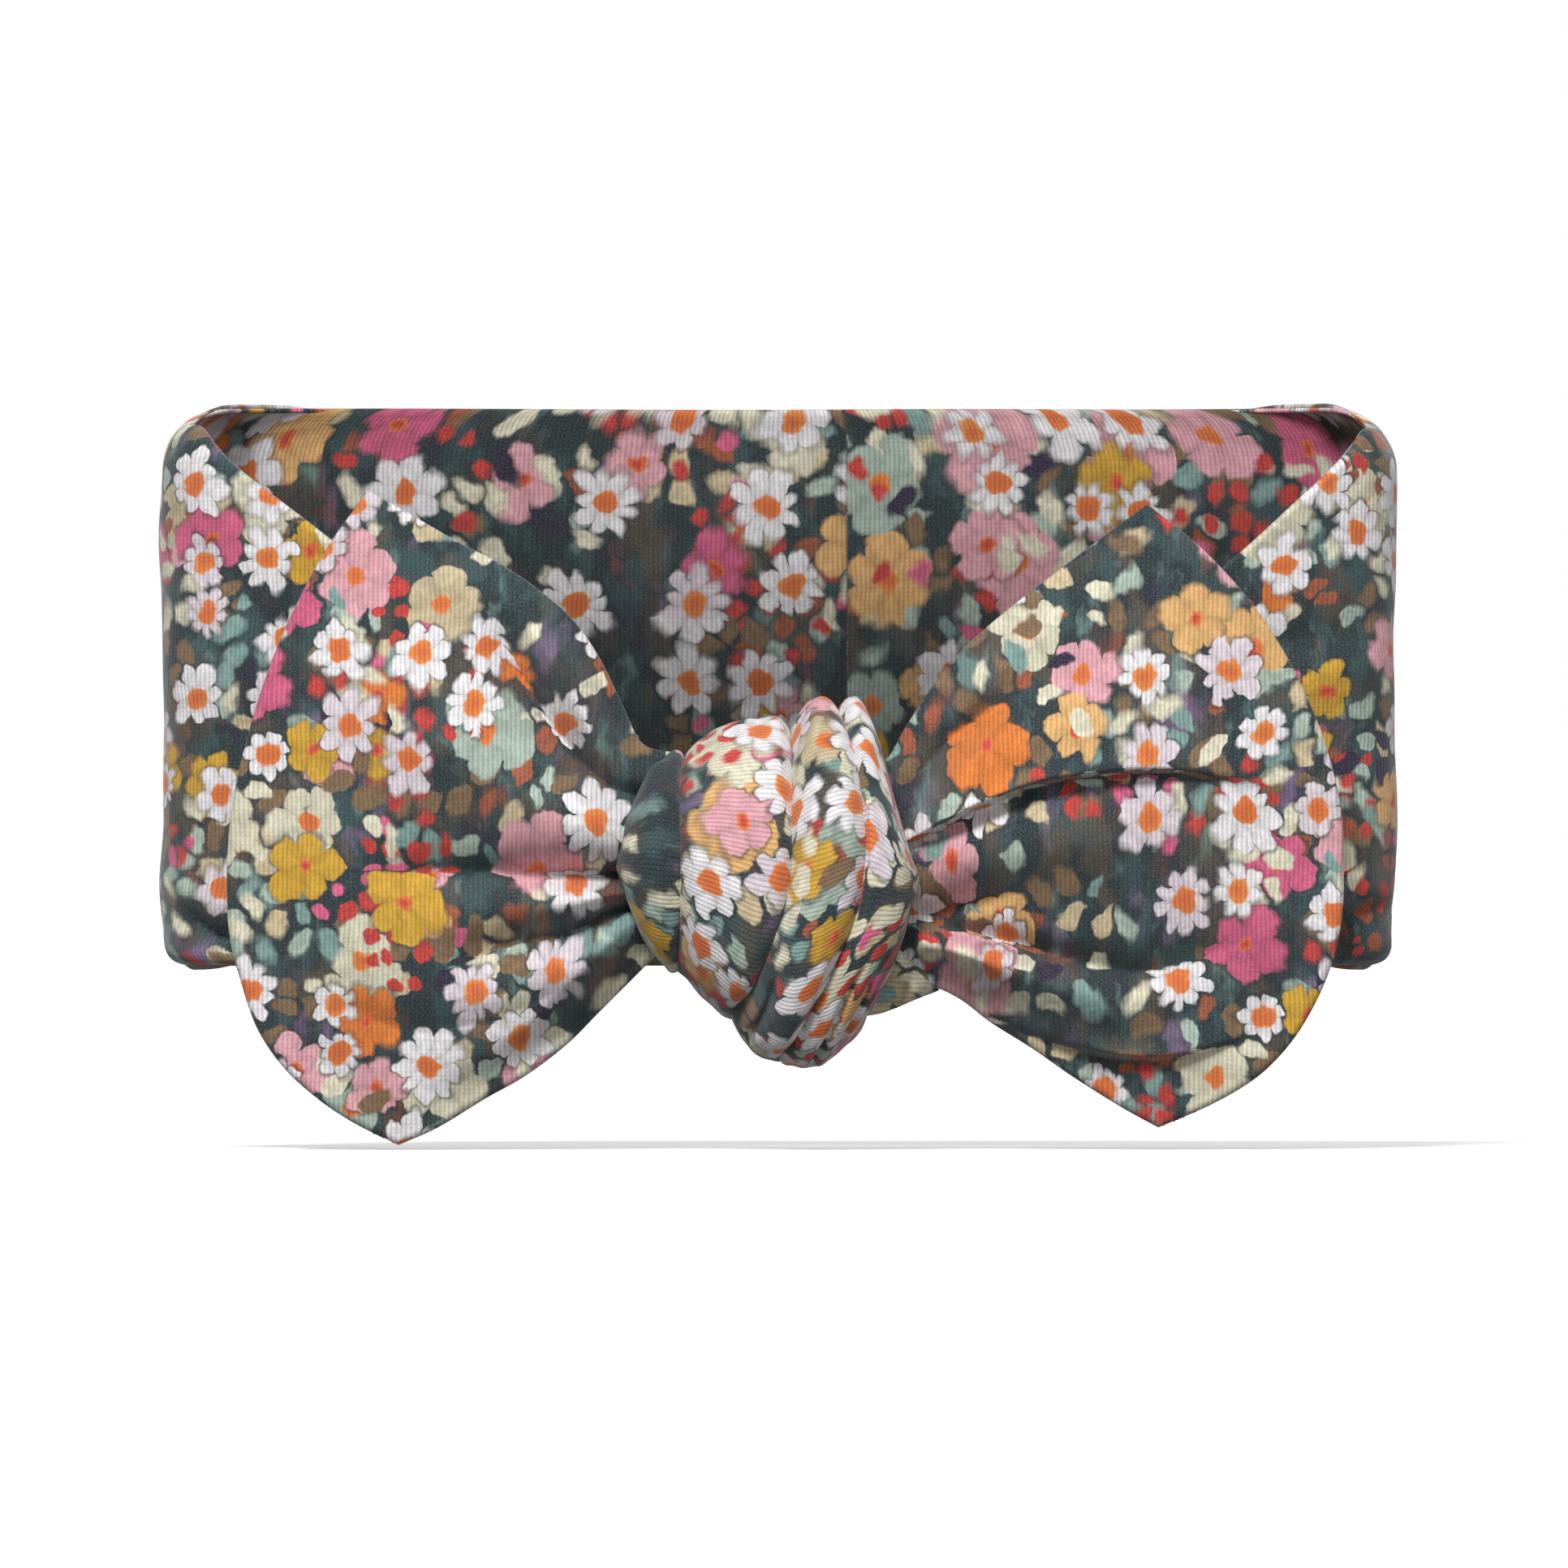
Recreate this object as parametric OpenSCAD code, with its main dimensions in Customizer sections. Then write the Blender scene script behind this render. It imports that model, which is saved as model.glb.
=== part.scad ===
// Knotted bow headband in printed jersey: a double-layer band, open as a flattened loop,
// with a wide bow strip knotted round its gathered front.
// Millimetres. +X runs to the wearer's left, +Y to the back of the head and +Z up.
// The origin is the middle of the head opening. The bow faces -Y.

/* [Band] */
// Width of the loop, side fold to side fold
band_w = 178; // [160:1:200]
// Depth of the loop, front to back
band_depth = 44; // [40:1:60]
// Height of the band at its back and sides
band_h = 80.6; // [70:0.2:90]
// Thickness of one layer of jersey
layer_t = 0.8; // [0.6:0.1:1]
// Gap between the outer layer and the lining, where the edge seam lies
layer_gap = 0.4; // [0.4:0.05:0.6]
// Squareness of the loop seen from above, where 2 is an ellipse
loop_power = 3; // [2.5:0.1:4]
// How far the top edge drops at each side fold
corner_r = 9; // [4:0.5:14]
// Place of the centre-back join, right of the middle
join_x = 10; // [0:1:15]

/* [Knot] */
// Depth of the knot at its thickest
knot_depth = 34; // [30:1:40]
// Thickness of the wrapped fabric
wrap_t = 3.5; // [2.5:0.5:4]
// Gap between neighbouring folds
fold_gap = 0.3; // [0.2:0.1:0.6]

/* [Bow] */
// Fullness of each wing at the knot
wing_full = 10.5; // [6:0.5:12]
// Depth of the pleats that fan out from the knot
pleat_depth = 2.2; // [1:0.1:3]
// Sewing thread diameter
thread_d = 0.3; // [0.2:0.05:0.3]

/* [Hidden] */

half_w = band_w / 2;
half_d = band_depth / 2;
half_h = band_h / 2;
cut_gap = 0.3;              // clearance where the front half parts from the back half
seam_gap = 0.4;             // slit that the centre-back stitches lie in
edge_seam_z = -half_h + 3;  // height of the seam that closes the band's lower edge
edge_pitch = 3.5;           // from one stitch of that seam to the next
edge_stitch = 2.6;
panel_end = 22;             // where the front panels run into the knot
loop_steps = 120;
seam_reach = half_w - 12;   // where the edge seam's stitches stop, before the side folds
beyond = 200;               // larger than the object, for cutting tools

knot_y = -half_d - 6;       // middle of the knot, front to back
bundle_r = 4;               // half thickness of a gathered bundle
bundle_h = 18;              // height of a gathered bundle

wing_back_y = -half_d - 2.2;
rim_t = 2 * layer_t + layer_gap + 0.4;
wing_nu = 14;
wing_nv = 18;

// Middle height and half height of the knot at places along it: [x, middle, half height]
KNOT_PROFILE = [[-24, -24, 14], [-17, -24, 16], [-5, -26.4, 21.6], [2, -28.9, 25.7],
    [9, -26.9, 25.4], [15, -25.4, 21.4], [20, -25.5, 18]];
// Each crease between two folds: its x at the top, front, bottom and back of the knot
CREASES = [[-17, -23.7, -15, -20], [-13, -14.5, -12.5, -13], [1.5, 1.2, -6.5, 0],
    [10, 14.2, 1, 9], [15, 20, 9, 18]];

// Wing outlines as cubic curves in X and Z, from the knot outwards and from the lower corner up
LEFT_WING = [
    [[-21, -42], [-28, -50], [-40, -58.5], [-54.7, -66.2]],
    [[-21.5, -9.5], [-24, 8], [-38, 25], [-59.1, 27.9]],
    [[-21, -42], [-27, -35], [-27.5, -17], [-21.5, -9.5]],
    [[-54.7, -66.2], [-93, -48], [-76, 2], [-59.1, 27.9]]];
RIGHT_WING = [
    [[19, -42], [30, -47], [42, -56], [54.6, -63.5]],
    [[18, -9.3], [23, 6], [37, 19], [53, 25.9]],
    [[19, -42], [24, -36], [25.5, -17], [18, -9.3]],
    [[54.6, -63.5], [100, -46], [78, 8], [53, 25.9]]];

// The front panels' top edges, from the side fold to the knot, and their lower corner at the knot
LEFT_TOP = [[-half_w, half_h], [-72, 27], [-50, 5], [-20, -10]];
RIGHT_TOP = [[half_w, half_h], [73, 24], [48, 0], [20, -12]];
PANEL_LOW = -37;

function bezier(p, t) = pow(1 - t, 3) * p[0] + 3 * t * pow(1 - t, 2) * p[1]
    + 3 * t * t * (1 - t) * p[2] + pow(t, 3) * p[3];

function power(value, n) = sign(value) * pow(abs(value), 2 / n);

// The middle of the band's two layers seen from above, grown outwards
middle_grow = layer_t + layer_gap / 2;
function loop_at(angle, grow) = [(half_w - middle_grow + grow) * power(cos(angle), loop_power),
    (half_d - middle_grow + grow) * power(sin(angle), loop_power)];
function loop_outline(grow) = [for (i = [0:loop_steps - 1]) loop_at(360 * i / loop_steps, grow)];

module loop_wall(inner, outer) {
    linear_extrude(band_h, center = true) difference() {
        polygon(loop_outline(outer));
        polygon(loop_outline(inner));
    }
}

module outer_wall() loop_wall(layer_gap / 2, middle_grow);
module lining_wall() loop_wall(-middle_grow, -layer_gap / 2);

// A side view outline pushed right through the loop, front to back
module through_y(points) {
    translate([0, beyond / 2, 0]) rotate([90, 0, 0]) linear_extrude(beyond) polygon(points);
}

function arc(cx, cz, r, from, to) = [for (i = [0:6])
    let (angle = from + (to - from) * i / 6) [cx + r * cos(angle), cz + r * sin(angle)]];

// The band seen from the back, with its soft corners at the side folds
module back_profile() {
    low_r = corner_r / 2.5;
    through_y(concat(
        arc(half_w - corner_r, half_h - corner_r, corner_r, 0, 90),
        arc(-half_w + corner_r, half_h - corner_r, corner_r, 90, 180),
        arc(-half_w + low_r, -half_h + low_r, low_r, 180, 270),
        arc(half_w - low_r, -half_h + low_r, low_r, 270, 360)));
}

// One front panel: full height at the side fold, drawn in to the knot
module front_profile(top, side) {
    through_y(concat([for (i = [0:12]) bezier(top, i / 12)],
        [[side * panel_end, PANEL_LOW], [side * (half_w - corner_r), -half_h], [side * half_w, -half_h]]));
}

module back_half(side) {
    low_x = side < 0 ? -beyond : join_x + seam_gap / 2;
    intersection() {
        children();
        back_profile();
        translate([low_x, cut_gap / 2, -beyond / 2])
            cube([side < 0 ? beyond + join_x - seam_gap / 2 : beyond, beyond, beyond]);
    }
}

module front_half(side) {
    intersection() {
        children();
        back_profile();
        front_profile(side < 0 ? LEFT_TOP : RIGHT_TOP, side);
        translate([side < 0 ? -beyond : panel_end, -beyond - cut_gap / 2, -beyond / 2])
            cube([beyond - (side < 0 ? panel_end : 0), beyond, beyond]);
    }
}

module band_back_left_outer() { color("darkslategray") back_half(-1) outer_wall(); }
module band_back_right_outer() { color("darkslategray") back_half(1) outer_wall(); }
module band_back_left_lining() { color("cadetblue") back_half(-1) lining_wall(); }
module band_back_right_lining() { color("cadetblue") back_half(1) lining_wall(); }
module band_front_left_outer() { color("darkslategray") front_half(-1) outer_wall(); }
module band_front_right_outer() { color("darkslategray") front_half(1) outer_wall(); }
module band_front_left_lining() { color("cadetblue") front_half(-1) lining_wall(); }
module band_front_right_lining() { color("cadetblue") front_half(1) lining_wall(); }

// Stitches of the seam that closes the band's lower edge, between its two layers
module edge_stitches(x_from, x_to, side) {
    count = floor((x_to - x_from) / edge_pitch);
    for (i = [0:count - 1]) {
        a = wall_point(x_from + i * edge_pitch, side);
        b = wall_point(x_from + i * edge_pitch + edge_stitch, side);
        turn = atan2(b[1] - a[1], b[0] - a[0]);
        translate([a[0], a[1], edge_seam_z]) rotate([0, 90, turn])
            cylinder(h = norm(b - a), d = thread_d, $fn = 16);
    }
}

// The point half way between the layers at a given x, on the back (side 1) or the front (side -1)
function wall_point(x, side) = [x, side * (half_d - middle_grow)
    * pow(1 - pow(abs(x) / (half_w - middle_grow), loop_power), 1 / loop_power)];

module band_back_edge_thread() {
    color("lightgray") for (span = [[-seam_reach, join_x - 1], [join_x + 1, seam_reach]])
        edge_stitches(span[0], span[1], 1);
}
module band_front_edge_thread() {
    color("lightgray") for (span = [[-seam_reach, -panel_end - 1], [panel_end + 1, seam_reach]])
        edge_stitches(span[0], span[1], -1);
}

// Stitches of the centre-back join, in the slit between the two ends of the band
module back_join_thread() {
    stitch = 2.2;
    pitch = 3;
    count = floor((band_h - 4) / pitch);
    color("lightgray") for (i = [0:count - 1])
        translate([join_x, half_d - middle_grow, -count * pitch / 2 + i * pitch])
            cylinder(h = stitch, d = thread_d, $fn = 16);
}

// A gathered bundle of fabric that runs through the knot, side to side
module bundle(y, z, from_x, to_x) {
    straight = bundle_h / 2 - bundle_r;
    translate([from_x, y, z]) rotate([90, 0, 90]) linear_extrude(to_x - from_x) union() {
        square([2 * bundle_r, 2 * straight], center = true);
        for (end = [-1, 1]) translate([0, end * straight]) circle(r = bundle_r, $fn = 32);
    }
}

module band_gather() { color("darkslategray") bundle(knot_y + bundle_r + 0.2, -25, -21.5, 19); }
module knot_core() { color("slategray") bundle(knot_y - bundle_r - 0.2, -25, -22.5, 19); }

// Where a crease lies at an angle round the knot: 0 is the front, 90 the top and 180 the back
function crease_x(k, angle) = let (c = CREASES[k])
    (c[0] + c[1] + c[2] + c[3]) / 4 + (c[1] - c[3]) / 2 * cos(angle)
    + (c[0] - c[2]) / 2 * sin(angle) + (c[1] + c[3] - c[0] - c[2]) / 4 * cos(2 * angle);

function knot_size(x) = [lookup(x, [for (p = KNOT_PROFILE) [p[0], p[1]]]),
    lookup(x, [for (p = KNOT_PROFILE) [p[0], p[2]]])];

// A point on the knot, inset from its outer surface
function knot_point(x, angle, inset) = let (
        size = knot_size(x),
        deep = knot_depth / 2 * pow(size[1] / 25.7, 0.3))
    [x, knot_y - (deep - inset) * cos(angle), size[0] + (size[1] - inset) * sin(angle)];

// One fold of the wrap: a rounded roll between two creases, all the way round the knot
module knot_fold(k) {
    turns = 30;
    across = 6;
    ring = [for (j = [0:across]) [j / across, 1.6 * pow(2 * j / across - 1, 2)],
        [1, wrap_t], [0.5, wrap_t], [0, wrap_t]];
    n = len(ring);
    points = [for (i = [0:turns - 1]) let (
            angle = 360 * i / turns,
            from = crease_x(k, angle) + fold_gap / 2,
            to = crease_x(k + 1, angle) - fold_gap / 2)
        for (r = ring) knot_point(from + (to - from) * r[0], angle, r[1])];
    faces = [for (i = [0:turns - 1], j = [0:n - 1]) let (
            a = i * n + j, b = i * n + (j + 1) % n,
            c = ((i + 1) % turns) * n + (j + 1) % n, d = ((i + 1) % turns) * n + j)
        each [[a, b, c], [a, c, d]]];
    polyhedron(points, faces);
}

module knot_left_fold() { color("teal") knot_fold(0); }
module knot_main_fold() { color("beige") knot_fold(1); }
module knot_middle_fold() { color("pink") knot_fold(2); }
module knot_right_fold() { color("cadetblue") knot_fold(3); }

// The end of the wrap, tucked in under the right of the knot
module knot_tuck() {
    color("dimgray") translate([18.6, knot_y - 2, -44.6]) rotate([0, 35, 0])
        rotate_extrude($fn = 32) polygon([[0, -3], [1.8, -2.4], [2.4, 0], [1.8, 2.4], [0, 3]]);
}

// Two crossed stitches that hold the knot to the band from behind
module knot_tack_thread() {
    back_y = knot_y + knot_depth / 2 + thread_d;
    color("lightgray") union() for (tilt = [-45, 45])
        translate([5, back_y, -27]) rotate([0, tilt, 0]) cylinder(h = 6, d = thread_d, center = true, $fn = 16);
}

// A place on a wing: u runs from the knot to the free edge, v from the lower edge to the upper
function wing_xz(w, u, v) = let (
        low = bezier(w[0], u), high = bezier(w[1], u), neck = bezier(w[2], v), edge = bezier(w[3], v),
        corners = (1 - u) * (1 - v) * w[0][0] + u * (1 - v) * w[0][3] + (1 - u) * v * w[1][0] + u * v * w[1][3])
    (1 - v) * low + v * high + (1 - u) * neck + u * edge - corners;

// How full the wing is there, with pleats that fan out from the knot
function wing_bulge(u, v) = rim_t + pow(sin(180 * v), 0.6)
    * (wing_full * pow(1 - u, 1.3) + 3 * sin(180 * u) + pleat_depth * (1 - u) * sin(180 * min(1, 3 * u)) * cos(1260 * v));

// One layer of a wing as a closed sheet: share is 1 at the front layer and 0 at the back layer
module wing_layer(w, share) {
    // the inner face of either layer keeps clear of the other at the rim
    function face(u, v, lift) = let (p = wing_xz(w, u, v))
        [p[0], wing_back_y - share * (wing_bulge(u, v) - 2 * lift) - lift, p[1]];
    rows = wing_nu + 1;
    cols = wing_nv + 1;
    points = [for (side = [0, 1], i = [0:wing_nu], j = [0:wing_nv]) face(i / wing_nu, j / wing_nv, side * layer_t)];
    top = rows * cols;
    sheet = [for (i = [0:wing_nu - 1], j = [0:wing_nv - 1]) let (a = i * cols + j)
        each [[a, a + 1, a + cols + 1], [a, a + cols + 1, a + cols]]];
    rim = concat([for (j = [0:cols - 1]) j], [for (i = [1:rows - 1]) i * cols + cols - 1],
        [for (j = [cols - 2:-1:0]) (rows - 1) * cols + j], [for (i = [rows - 2:-1:1]) i * cols]);
    wall = [for (k = [0:len(rim) - 1]) let (a = rim[k], b = rim[(k + 1) % len(rim)])
        each [[a, top + a, top + b], [a, top + b, b]]];
    other = [for (f = sheet) [f[2] + top, f[1] + top, f[0] + top]];
    flip = w[0][3][0] < 0 ? 1 : 0;
    outward = share > 0.5 ? 1 : 0;
    all = concat(sheet, other, wall);
    polyhedron(points, flip != outward ? all : [for (f = all) [f[2], f[1], f[0]]]);
}

// Stitches between the two layers along the free edge of a wing
module wing_end_thread(w) {
    count = 24;
    inset = 0.97;
    for (i = [1:count - 1]) {
        a = wing_xz(w, inset, (i - 0.35) / count);
        b = wing_xz(w, inset, (i + 0.35) / count);
        run = norm(b - a);
        translate([a[0], wing_back_y - rim_t / 2, a[1]]) rotate([0, atan2(b[0] - a[0], b[1] - a[1]), 0])
            cylinder(h = run, d = thread_d, $fn = 16);
    }
}

module left_wing_front() { color("darkslategray") wing_layer(LEFT_WING, 1); }
module left_wing_back() { color("cadetblue") wing_layer(LEFT_WING, 0); }
module left_wing_end_thread() { color("lightgray") wing_end_thread(LEFT_WING); }
module right_wing_front() { color("darkslategray") wing_layer(RIGHT_WING, 1); }
module right_wing_back() { color("cadetblue") wing_layer(RIGHT_WING, 0); }
module right_wing_end_thread() { color("lightgray") wing_end_thread(RIGHT_WING); }

band_back_left_outer();
band_back_right_outer();
band_back_left_lining();
band_back_right_lining();
back_join_thread();
band_back_edge_thread();
band_front_edge_thread();
band_front_left_outer();
band_front_right_outer();
band_front_left_lining();
band_front_right_lining();
band_gather();
knot_core();
knot_left_fold();
knot_main_fold();
knot_middle_fold();
knot_right_fold();
knot_tuck();
knot_tack_thread();
left_wing_front();
left_wing_back();
left_wing_end_thread();
right_wing_front();
right_wing_back();
right_wing_end_thread();
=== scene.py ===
import math

import bpy
import numpy as np
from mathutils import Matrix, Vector


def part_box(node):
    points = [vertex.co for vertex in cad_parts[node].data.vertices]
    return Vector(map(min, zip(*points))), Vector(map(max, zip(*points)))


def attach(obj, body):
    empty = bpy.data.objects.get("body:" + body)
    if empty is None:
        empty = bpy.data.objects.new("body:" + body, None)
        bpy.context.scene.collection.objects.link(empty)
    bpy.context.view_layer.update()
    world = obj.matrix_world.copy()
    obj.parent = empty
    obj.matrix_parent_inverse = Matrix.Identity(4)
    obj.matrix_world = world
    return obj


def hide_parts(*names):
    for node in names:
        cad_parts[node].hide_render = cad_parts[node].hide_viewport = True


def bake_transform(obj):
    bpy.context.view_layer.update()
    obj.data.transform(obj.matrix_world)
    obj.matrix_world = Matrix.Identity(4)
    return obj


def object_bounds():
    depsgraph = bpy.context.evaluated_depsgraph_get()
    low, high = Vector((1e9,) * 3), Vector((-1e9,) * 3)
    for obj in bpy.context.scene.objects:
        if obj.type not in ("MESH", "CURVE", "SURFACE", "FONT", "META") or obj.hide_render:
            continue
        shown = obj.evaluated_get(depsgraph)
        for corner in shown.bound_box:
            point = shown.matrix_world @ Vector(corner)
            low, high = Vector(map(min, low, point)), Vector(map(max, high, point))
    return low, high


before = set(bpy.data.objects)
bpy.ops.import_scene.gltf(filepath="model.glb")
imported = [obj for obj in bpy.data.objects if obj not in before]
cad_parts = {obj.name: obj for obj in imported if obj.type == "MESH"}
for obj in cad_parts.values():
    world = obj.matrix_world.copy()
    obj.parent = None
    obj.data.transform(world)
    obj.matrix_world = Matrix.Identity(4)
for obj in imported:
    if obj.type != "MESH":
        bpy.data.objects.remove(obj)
cad_bounds = [list(corner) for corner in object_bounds()]

# All lengths below are in millimetres until a mesh or a camera is made.
MM = 0.001


# ---------------------------------------------------------------- sizes from the frame

def box_mm(node):
    """Lowest and highest corner of a CAD node, in millimetres."""
    low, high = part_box(node)
    return np.array(low) / MM, np.array(high) / MM


back_low, back_high = box_mm("band_back_left_outer")
HALF_W, HALF_D, HALF_H = -back_low[0], back_high[1], back_high[2]
JOIN_X = sum(box_mm("back_join_thread"))[0] / 2
WING_BACK_Y = box_mm("left_wing_back")[1][1]
knot_low, knot_high = box_mm("knot_middle_fold")
KNOT_Y = (knot_low[1] + knot_high[1]) / 2
KNOT_HALF_DEPTH = (knot_high[1] - knot_low[1]) / 2
FLOOR_Z = cad_bounds[0][2] / MM - 0.5


# ---------------------------------------------------------------- curves and heights

def spline(points, at):
    """Points along a smooth curve through the given ones. at is a count, or shares of the curve's length."""
    p = np.array(points, float)
    p = np.vstack([2 * p[0] - p[1], p, 2 * p[-1] - p[-2]])
    t = np.linspace(0, 1, 40, endpoint=False)[:, None]
    runs = []
    for a, b, c, d in zip(p, p[1:], p[2:], p[3:]):
        second, third = 2 * a - 5 * b + 4 * c - d, 3 * b - a - 3 * c + d
        runs.append(0.5 * (2 * b + (c - a) * t + second * t ** 2 + third * t ** 3))
    dense = np.vstack(runs + [p[-2][None]])
    return spaced(dense, at)


def spaced(dense, at):
    """Points along a polyline. at is a count, or shares of its length."""
    run = np.r_[0, np.cumsum(np.linalg.norm(np.diff(dense, axis=0), axis=1))]
    at = (np.linspace(0, 1, at) if np.isscalar(at) else at) * run[-1]
    return np.column_stack([np.interp(at, run, dense[:, k]) for k in range(dense.shape[1])])


def ripple(p, size, seed, waves=24):
    """A smooth random height from about -1 to 1, with lumps of the given size."""
    random = np.random.default_rng(seed)
    way = random.normal(size=(waves, p.shape[-1]))
    way /= np.linalg.norm(way, axis=1, keepdims=True)
    pitch = 2 * math.pi / size * random.uniform(0.5, 1.3, waves)
    phase = random.uniform(0, 2 * math.pi, waves)
    return np.sin(p @ (way * pitch[:, None]).T + phase).sum(-1) / math.sqrt(waves)


def smooth(low, high, x):
    """0 where x is at low, 1 where it is at high, and a soft step between."""
    t = np.clip((x - low) / (high - low), 0, 1)
    return t * t * (3 - 2 * t)


def stroke(p, kind, points, height, width, hide=0):
    """The height that one crease, ridge or overlap gives at each place p (x, z), and the shift of the cloth
    along z. height and width run from the first point to the last. A crease is a valley. An overlap is high
    on its left as the points run and drops sharply to its right. hide is the cloth that the fold swallows."""
    line = spline(points, 60)
    gap = p[:, None, :] - line[None]
    near = np.argmin((gap ** 2).sum(-1), axis=1)
    t = near / (len(line) - 1)
    along = np.gradient(line, axis=0)[near]
    along /= np.linalg.norm(along, axis=1, keepdims=True)
    off = np.take_along_axis(gap, near[:, None, None], 1)[:, 0]
    side = along[:, 0] * off[:, 1] - along[:, 1] * off[:, 0]
    d = np.linalg.norm(off, axis=1)
    tall = np.interp(t, [0, 1], height) * smooth(1.0, 0.62, t)
    wide = np.interp(t, [0, 1], width)
    if kind == "crease":
        rise = -tall * (0.55 * np.exp(-d / wide) + 0.45 * np.exp(-(d / wide) ** 2))
    elif kind == "ridge":
        rise = tall * np.exp(-(d / wide) ** 2)
    else:
        upper = np.exp(-(d / (2.2 * wide)) ** 1.5)
        lower = -0.6 * np.exp(-d / wide)
        share = smooth(-0.7, 0.7, side)
        rise = tall * (share * upper + (1 - share) * lower)
    above = side * np.sign(along[:, 0])
    cloth = 0.5 * hide * np.tanh(above / 0.5) * np.exp(-d / 14) * smooth(1.0, 0.7, t)
    return rise, cloth


# ---------------------------------------------------------------- meshes

def normals(grid, closed=False):
    """Unit normals of a grid of points."""
    if closed:
        du = np.roll(grid, -1, 0) - np.roll(grid, 1, 0)
    else:
        du = np.gradient(grid, axis=0)
    n = np.cross(du, np.gradient(grid, axis=1))
    return n / np.maximum(np.linalg.norm(n, axis=-1, keepdims=True), 1e-9)


def cloth_mesh(name, face, uv, thick, material, closed=False, outward=1, inward=None):
    """A closed thin sheet of cloth. face is a grid of points on its outer side, and uv the same grid on the
    flat cloth, both in millimetres. closed joins the last row to the first, and the last row of uv then
    carries on from there. inward is the way from the outer to the inner side, square to the face if None."""
    rows, cols = face.shape[:2]
    if inward is None:
        inward = normals(face, closed) * -outward
    bulge = np.zeros_like(face)
    bulge[:, 0] -= face[:, 1] - face[:, 0]
    bulge[:, -1] -= face[:, -2] - face[:, -1]
    if not closed:
        bulge[0] -= face[1] - face[0]
        bulge[-1] -= face[-2] - face[-1]
    length = np.linalg.norm(bulge, axis=-1, keepdims=True)
    rounded = bulge / np.maximum(length, 1e-9) * thick * 0.35 * (length > 0)
    layers = [face, face + inward * thick * 0.5 + rounded, face + inward * thick]
    count = rows * cols
    quads, places = [], []

    def quad(corners):
        corners = corners[::-1] if outward < 0 else corners
        quads.append([level * count + (i % rows) * cols + j for level, i, j in corners])
        places.extend(uv[i, j] for level, i, j in corners)

    for i in range(rows if closed else rows - 1):
        for j in range(cols - 1):
            quad([(0, i, j), (0, i + 1, j), (0, i + 1, j + 1), (0, i, j + 1)])
            quad([(2, i, j), (2, i, j + 1), (2, i + 1, j + 1), (2, i + 1, j)])
        for level in (0, 1):
            quad([(level, i, 0), (level + 1, i, 0), (level + 1, i + 1, 0), (level, i + 1, 0)])
            last = cols - 1
            quad([(level, i, last), (level, i + 1, last), (level + 1, i + 1, last), (level + 1, i, last)])
    if not closed:
        last = rows - 1
        for j in range(cols - 1):
            for level in (0, 1):
                quad([(level, 0, j), (level, 0, j + 1), (level + 1, 0, j + 1), (level + 1, 0, j)])
                quad([(level, last, j), (level + 1, last, j), (level + 1, last, j + 1), (level, last, j + 1)])
    points = np.concatenate([layer.reshape(-1, 3) for layer in layers])
    used = np.unique(np.array(quads))
    renumber = np.zeros(len(points), int)
    renumber[used] = np.arange(len(used))
    points, quads = points[used], renumber[np.array(quads)].tolist()
    mesh = bpy.data.meshes.new(name)
    mesh.from_pydata((points * MM).tolist(), [], quads)
    layer = mesh.uv_layers.new(name="cloth")
    layer.data.foreach_set("uv", (np.array(places) * MM).ravel())
    mesh.shade_smooth()
    mesh.materials.append(material)
    piece = bpy.data.objects.new(name, mesh)
    bpy.context.scene.collection.objects.link(piece)
    return piece


# ---------------------------------------------------------------- materials

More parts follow.
